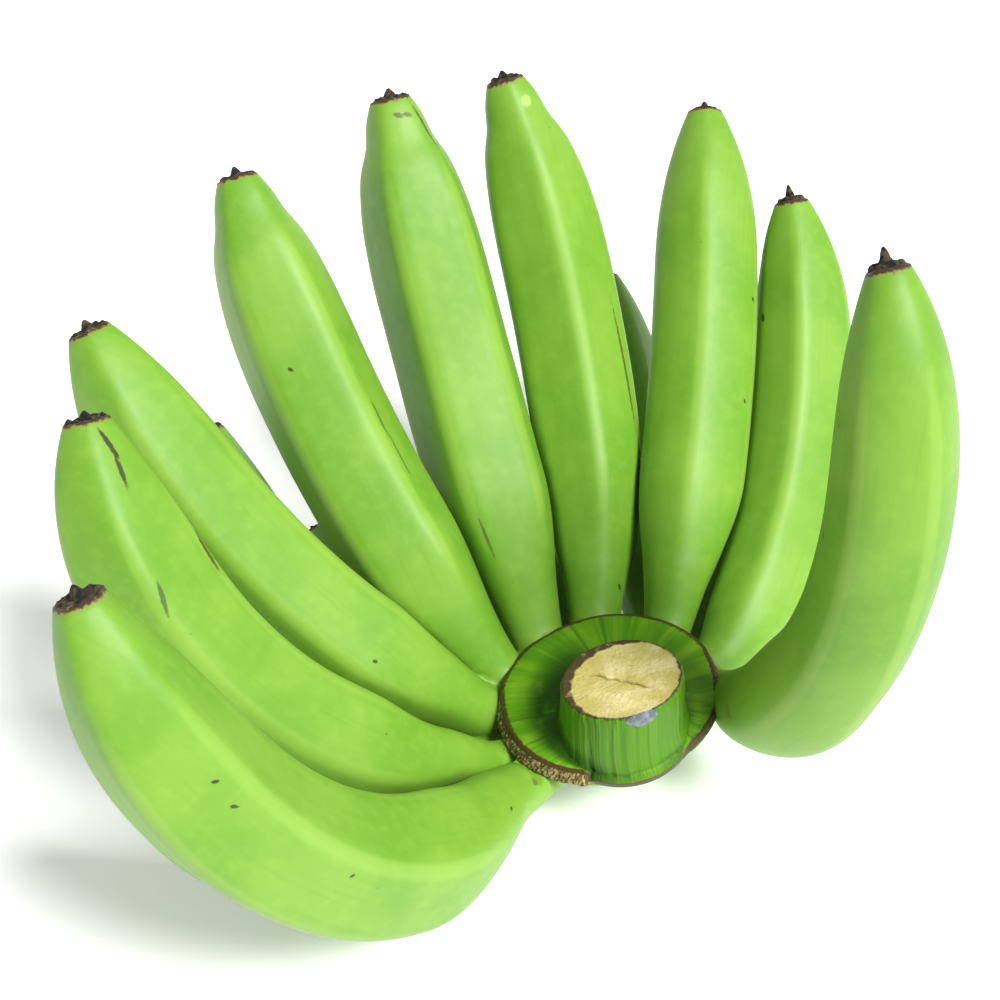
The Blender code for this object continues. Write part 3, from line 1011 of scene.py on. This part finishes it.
# Scars and spots of the upper fingers, and one painted highlight near the sixth finger's tip: mm round from
# the sky side and mm along of one end, the same of the other end, half width in mm, colour, strength
MARKS = {
    "finger_upper_1": [
        (-37.8, 176.6, -37.0, 176.2, 0.55, "#1C2605", 0.9),
        (-39.3, 167.8, -38.7, 167.0, 0.6, "#222D06", 0.9),
        (-37.8, 122.0, -37.2, 121.6, 0.5, "#1C2605", 0.9),
        (-18.2, 35.8, -17.6, 35.0, 0.5, "#222D06", 0.9),
        (-13.0, 13.5, -10.0, 12.4, 1.1, "#4D4926", 0.7),
    ],
    "finger_upper_2": [
        (-12.4, 199.0, -16.0, 190.0, 0.8, "#33280E", 0.95),
        (-16.0, 191.0, -21.0, 181.9, 0.7, "#2D220E", 0.9),
        (-11.1, 158.6, -13.6, 145.0, 1.05, "#453A12", 0.9),
        (-33.2, 153.8, -36.0, 145.7, 0.7, "#2A4606", 0.8),
    ],
    "finger_upper_3": [(-32.2, 58.6, -31.8, 58.0, 0.55, "#1C2605", 0.9)],
    "finger_upper_4": [
        (-7.8, 110.2, -8.4, 98.0, 0.7, "#424911", 0.7),
        (-7.2, 99.0, -7.8, 83.0, 0.6, "#374D09", 0.7),
        (-29.4, 132.0, -29.0, 131.4, 0.6, "#1B2505", 0.9),
    ],
    "finger_upper_5": [
        (-1.2, 194.6, 0.6, 194.0, 0.9, "#374211", 0.8),
        (2.0, 194.2, 3.6, 193.6, 0.8, "#374211", 0.8),
        (5.9, 196.0, 11.7, 180.1, 0.6, "#43321B", 0.85),
        (-10.5, 52.8, -8.7, 38.8, 0.5, "#3B4D09", 0.7),
    ],
    "finger_upper_6": [
        (29.5, 118.0, 31.0, 76.0, 0.6, "#454211", 0.8),
        # pale spot near the tip: a painted highlight
        (9.0, 194.4, 9.8, 193.6, 1.9, "#B8D088", 0.4),
        (14.4, 21.4, 14.8, 20.8, 0.6, "#222209", 0.9),
    ],
    "finger_upper_7": [
        (31.3, 126.0, 31.7, 125.4, 0.55, "#1C2605", 0.9),
        (29.9, 89.0, 30.3, 88.4, 0.5, "#1C2605", 0.9),
    ],
    "finger_upper_8": [(-5.3, 143.6, -4.9, 141.8, 0.8, "#222D09", 0.9)],
    "finger_upper_9": [
        (18.0, 126.2, 18.2, 124.8, 0.6, "#424D22", 0.8),
        (13.8, 85.0, 14.0, 84.4, 0.5, "#373717", 0.8),
        (18.6, 162.5, 18.8, 161.9, 0.5, "#2D370D", 0.8),
        (18.5, 32.0, 22.0, 33.5, 1.5, "#68623D", 0.6),
    ],
}


def with_mark(tree, colour, skin_map, ragged, mark):
    """Lays one scar, spot or painted highlight over the skin: an ellipse with a ragged edge."""
    around, along, end_around, end_along, half_width, hex_colour, strength = mark
    half = 0.5 * math.hypot(end_around - around, end_along - along) + half_width
    turn = math.atan2(end_along - along, end_around - around)
    middle = ((around + end_around) * 0.5, (along + end_along) * 0.5, 0.0)
    inputs = {"Vector": skin_map, "Location": middle, "Rotation": (0.0, 0.0, turn),
              "Scale": (half, half_width, 1.0)}
    inside = add(tree, "Mapping", inputs, vector_type="TEXTURE").outputs[0]
    flat = add(tree, "VectorMath", {0: inside, 1: (1.0, 1.0, 0.0)}, operation="MULTIPLY").outputs[0]
    away = add(tree, "VectorMath", {0: flat}, operation="LENGTH").outputs["Value"]
    return laid_over(tree, colour, ramp(tree, plus(tree, away, ragged), 1.75, 1.2), hex_colour, strength)


def peel_material(name, length, marks):
    """Unripe banana peel, grown: waxy green skin with streaks, paler ridges, and a dry brown end."""
    material, tree, surface = waxy_skin(name)
    place = piece_place(tree)
    colour = peel_colour(tree, place)
    skin_map = add(tree, "UVMap", uv_map="lengthwise").outputs[0]
    streak = ramp(tree, stretched_noise(tree, skin_map, (0.55, 0.03, 1.0), 3.0), 0.5, 0.8)
    colour = laid_over(tree, colour, streak, "#588A12", 0.25)
    colour = laid_over(tree, colour, ramp(tree, attribute_of(tree, "ridge"), 0.7, 1.1), "#90B04C", 0.3)
    ragged = noise_of(tree, place, 700.0, 3.0)
    for mark in marks:
        colour = with_mark(tree, colour, skin_map, ragged, mark)
    along = add(tree, "SeparateXYZ", {0: skin_map}).outputs[1]
    edge = plus(tree, along, times(tree, ragged, 2.4))
    colour = laid_over(tree, colour, ramp(tree, edge, length - 0.2, length + 0.6), "#8A8448")
    colour = laid_over(tree, colour, ramp(tree, edge, length + 0.3, length + 1.1), "#3A2E1C")
    dress(tree, surface, colour, pores_of(tree, place))
    return material


def flower_material():
    """Dried flower end: withered plant tissue, matt, nearly black with tan fibres."""
    material, tree, surface = fresh_material("dried_flower_end", 0.9, IOR=1.45)
    place = piece_place(tree)
    patches = ramp(tree, noise_of(tree, place, 520.0, 4.0), 0.42, 0.66)
    colour = mixed(tree, patches, linear("#100E0A"), linear("#463C28"))
    dress(tree, surface, colour, bump_of(tree, noise_of(tree, place, 1500.0, 4.0), 0.0003))
    return material


def web_material():
    """The same waxy peel where the necks grow together."""
    material, tree, surface = waxy_skin("waxy_peel_of_necks")
    place = piece_place(tree)
    dress(tree, surface, peel_colour(tree, place), pores_of(tree, place))
    return material


def collar_material():
    """Smooth stalk skin, grown: deep green with pale streaks down and out, scarred at its edges."""
    material, tree, surface = fresh_material("stalk_skin", 0.5, IOR=1.4, Specular_IOR_Level=0.35)
    place = piece_place(tree)
    growth = attribute_of(tree, "growth", "Vector")
    across, _, down = add(tree, "SeparateXYZ", {0: growth}).outputs
    broad = ramp(tree, stretched_noise(tree, growth, (6.0, 6.0, 0.35)), 0.42, 0.62)
    fine = ramp(tree, stretched_noise(tree, growth, (24.0, 24.0, 0.6), 3.0), 0.4, 0.7)
    dark = ramp(tree, stretched_noise(tree, growth, (13.0, 13.0, 0.3)), 0.6, 0.72)
    colour = mixed(tree, broad, linear("#508C08"), linear("#70A216"))
    colour = laid_over(tree, colour, fine, "#84AE34", 0.3)
    colour = laid_over(tree, colour, dark, "#2A6008", 0.6)
    # the stub's side is deeper green than the collar
    colour = laid_over(tree, colour, ramp(tree, down, 2.1, 1.95), "#427206", 0.78)
    # darker in the corner at the stub's foot, dirt with painted shade, and darker to its left, a stain with
    # the stub's painted shadow
    clouds = noise_of(tree, place, 110.0, 4.0)
    foot = times(tree, ramp(tree, down, 2.5, 2.0), ramp(tree, down, 1.9, 2.05))
    foot_shade_and_dirt = times(tree, foot, ramp(tree, clouds, 0.35, 0.6))
    colour = laid_over(tree, colour, foot_shade_and_dirt, "#1E4206", 0.7)
    # painted shadow of the stub on the dish to its left, together with a stain
    left = times(tree, ramp(tree, across, -0.1, -0.55), ramp(tree, clouds, 0.15, 0.4))
    beside = times(tree, ramp(tree, down, 2.8, 2.3), ramp(tree, down, 1.6, 2.0))
    colour = laid_over(tree, colour, times(tree, left, beside), "#1C4404", 0.88)
    worn = plus(tree, attribute_of(tree, "scar"), noise_of(tree, place, 700.0, 4.0))
    colour = laid_over(tree, colour, ramp(tree, worn, 1.0, 1.35), "#4A3A1C")
    dress(tree, surface, colour, bump_of(tree, plus(tree, broad, fine), 0.0002, 0.6))
    return material


def cut_material():
    """Cut stalk: dried pale fibres seen end on, matt, with a brown rim."""
    material, tree, surface = fresh_material("cut_stalk_fibres", 0.85, IOR=1.4)
    place = piece_place(tree)
    patches = ramp(tree, noise_of(tree, place, 90.0, 4.0), 0.35, 0.65)
    colour = mixed(tree, patches, linear("#B2A55E"), linear("#CFC28C"))
    ends = add(tree, "TexVoronoi", {"Vector": place, "Scale": 620.0}).outputs["Distance"]
    dots = ramp(tree, ends, 0.34, 0.05)
    colour = laid_over(tree, colour, dots, "#8A6F3A", 0.08)
    grain = ramp(tree, noise_of(tree, place, 800.0, 4.0), 0.45, 0.7)
    colour = laid_over(tree, colour, grain, "#978A48", 0.3)
    torn = times(tree, noise_of(tree, place, 380.0, 5.0), 1.5)
    worn = plus(tree, attribute_of(tree, "scar"), torn)
    colour = laid_over(tree, colour, ramp(tree, worn, 1.1, 1.7), "#40351A")
    crack = ramp(tree, attribute_of(tree, "cork"), 0.25, 0.9)
    colour = laid_over(tree, colour, crack, "#7A6434", 0.7)
    height = plus(tree, noise_of(tree, place, 420.0, 4.0), times(tree, dots, 0.3))
    dress(tree, surface, colour, bump_of(tree, height, 0.0004))
    return material


def cork_material():
    """Corky scar where bracts were: dry brown cork in small segments, matt."""
    material, tree, surface = fresh_material("corky_scar", 0.9, IOR=1.4)
    growth = attribute_of(tree, "growth", "Vector")
    cells = ramp(tree, stretched_noise(tree, growth, (38.0, 38.0, 4.0)), 0.42, 0.6)
    colour = mixed(tree, cells, linear("#5A4826"), linear("#B3A16C"))
    grit = ramp(tree, noise_of(tree, piece_place(tree), 900.0, 4.0), 0.4, 0.7)
    colour = laid_over(tree, colour, grit, "#6E5C32", 0.4)
    dress(tree, surface, colour, bump_of(tree, plus(tree, cells, grit), 0.0005))
    return material


def latex_material():
    """Dried banana latex: a grey, slightly glossy and cloudy film."""
    material, tree, surface = fresh_material("dried_latex", 0.5, IOR=1.5, Subsurface_Weight=0.2,
                                             Subsurface_Scale=0.001)
    cloud = ramp(tree, noise_of(tree, piece_place(tree), 420.0, 3.0), 0.35, 0.65)
    dress(tree, surface, mixed(tree, cloud, linear("#50585C"), linear("#7A8284")))
    return material


def make_table():
    """A plain white table top, matt, wide enough to fill the view."""
    deselect_all()
    bpy.ops.mesh.primitive_grid_add(x_subdivisions=8, y_subdivisions=8, size=TABLE_SIZE, location=(0, 0, 0))
    table = bpy.context.active_object
    table.name = "white_table"
    material, tree, surface = fresh_material("white_matt_table", 0.9, Specular_IOR_Level=0.0,
                                             Emission_Strength=TABLE_GLOW)
    surface.inputs["Emission Color"].default_value = linear("#FFFFFF")
    cloud = noise_of(tree, piece_place(tree), 3.0)
    dress(tree, surface, mixed(tree, cloud, linear("#F8F8F8"), linear("#FBFBFB")))
    table.data.materials.append(material)


def make_light():
    """A white room of soft light and one broad light from the right."""
    world = bpy.data.worlds.new("white_room")
    world.use_nodes = True
    room = world.node_tree.nodes["Background"]
    room.inputs["Color"].default_value = linear("#FFFFFF")
    room.inputs["Strength"].default_value = ROOM_STRENGTH
    bpy.context.scene.world = world
    light = bpy.data.lights.new("broad_light", "SUN")
    light.energy = LAMP_STRENGTH
    light.angle = math.radians(LAMP_ANGLE)
    lamp = bpy.data.objects.new("broad_light", light)
    lamp.rotation_mode = "QUATERNION"
    lamp.rotation_quaternion = Vector(LAMP_DIRECTION).to_track_quat("Z", "Y")
    bpy.context.scene.collection.objects.link(lamp)


def make_camera():
    """The camera looks down at 42 degrees from the front."""
    camera_data = bpy.data.cameras.new("camera")
    camera_data.lens = CAMERA_LENS
    camera_data.sensor_width = CAMERA_SENSOR
    camera = bpy.data.objects.new("camera", camera_data)
    camera.location = CAMERA_PLACE
    camera.rotation_euler = (math.radians(CAMERA_TILT), 0.0, 0.0)
    bpy.context.scene.collection.objects.link(camera)
    bpy.context.scene.camera = camera


def main():
    make_camera()
    make_light()
    make_table()
    bpy.context.scene.view_settings.view_transform = "Standard"
    paths = all_paths()
    dry_end = flower_material()
    pattern = upright_tube("upright_finger", finger_rings(), SKIN_SIDES)
    for path in paths:
        name = path.finger.name
        skin = make_finger(pattern, path)
        skin.data.materials[0] = peel_material("waxy_peel_of_" + name, path.finger.length,
                                               MARKS.get(name, []))
        skin.data.materials[1] = dry_end
        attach(skin, BODY)
    bpy.data.objects.remove(pattern)
    web = make_web(paths)
    web.data.materials.clear()
    web.data.materials.append(web_material())
    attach(web, BODY)
    collar = make_collar()
    for number, material in enumerate((collar_material(), cut_material(), cork_material())):
        collar.data.materials[number] = material
    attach(collar, BODY)
    drop = make_latex_drop()
    drop.data.materials.append(latex_material())
    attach(drop, BODY)


main()
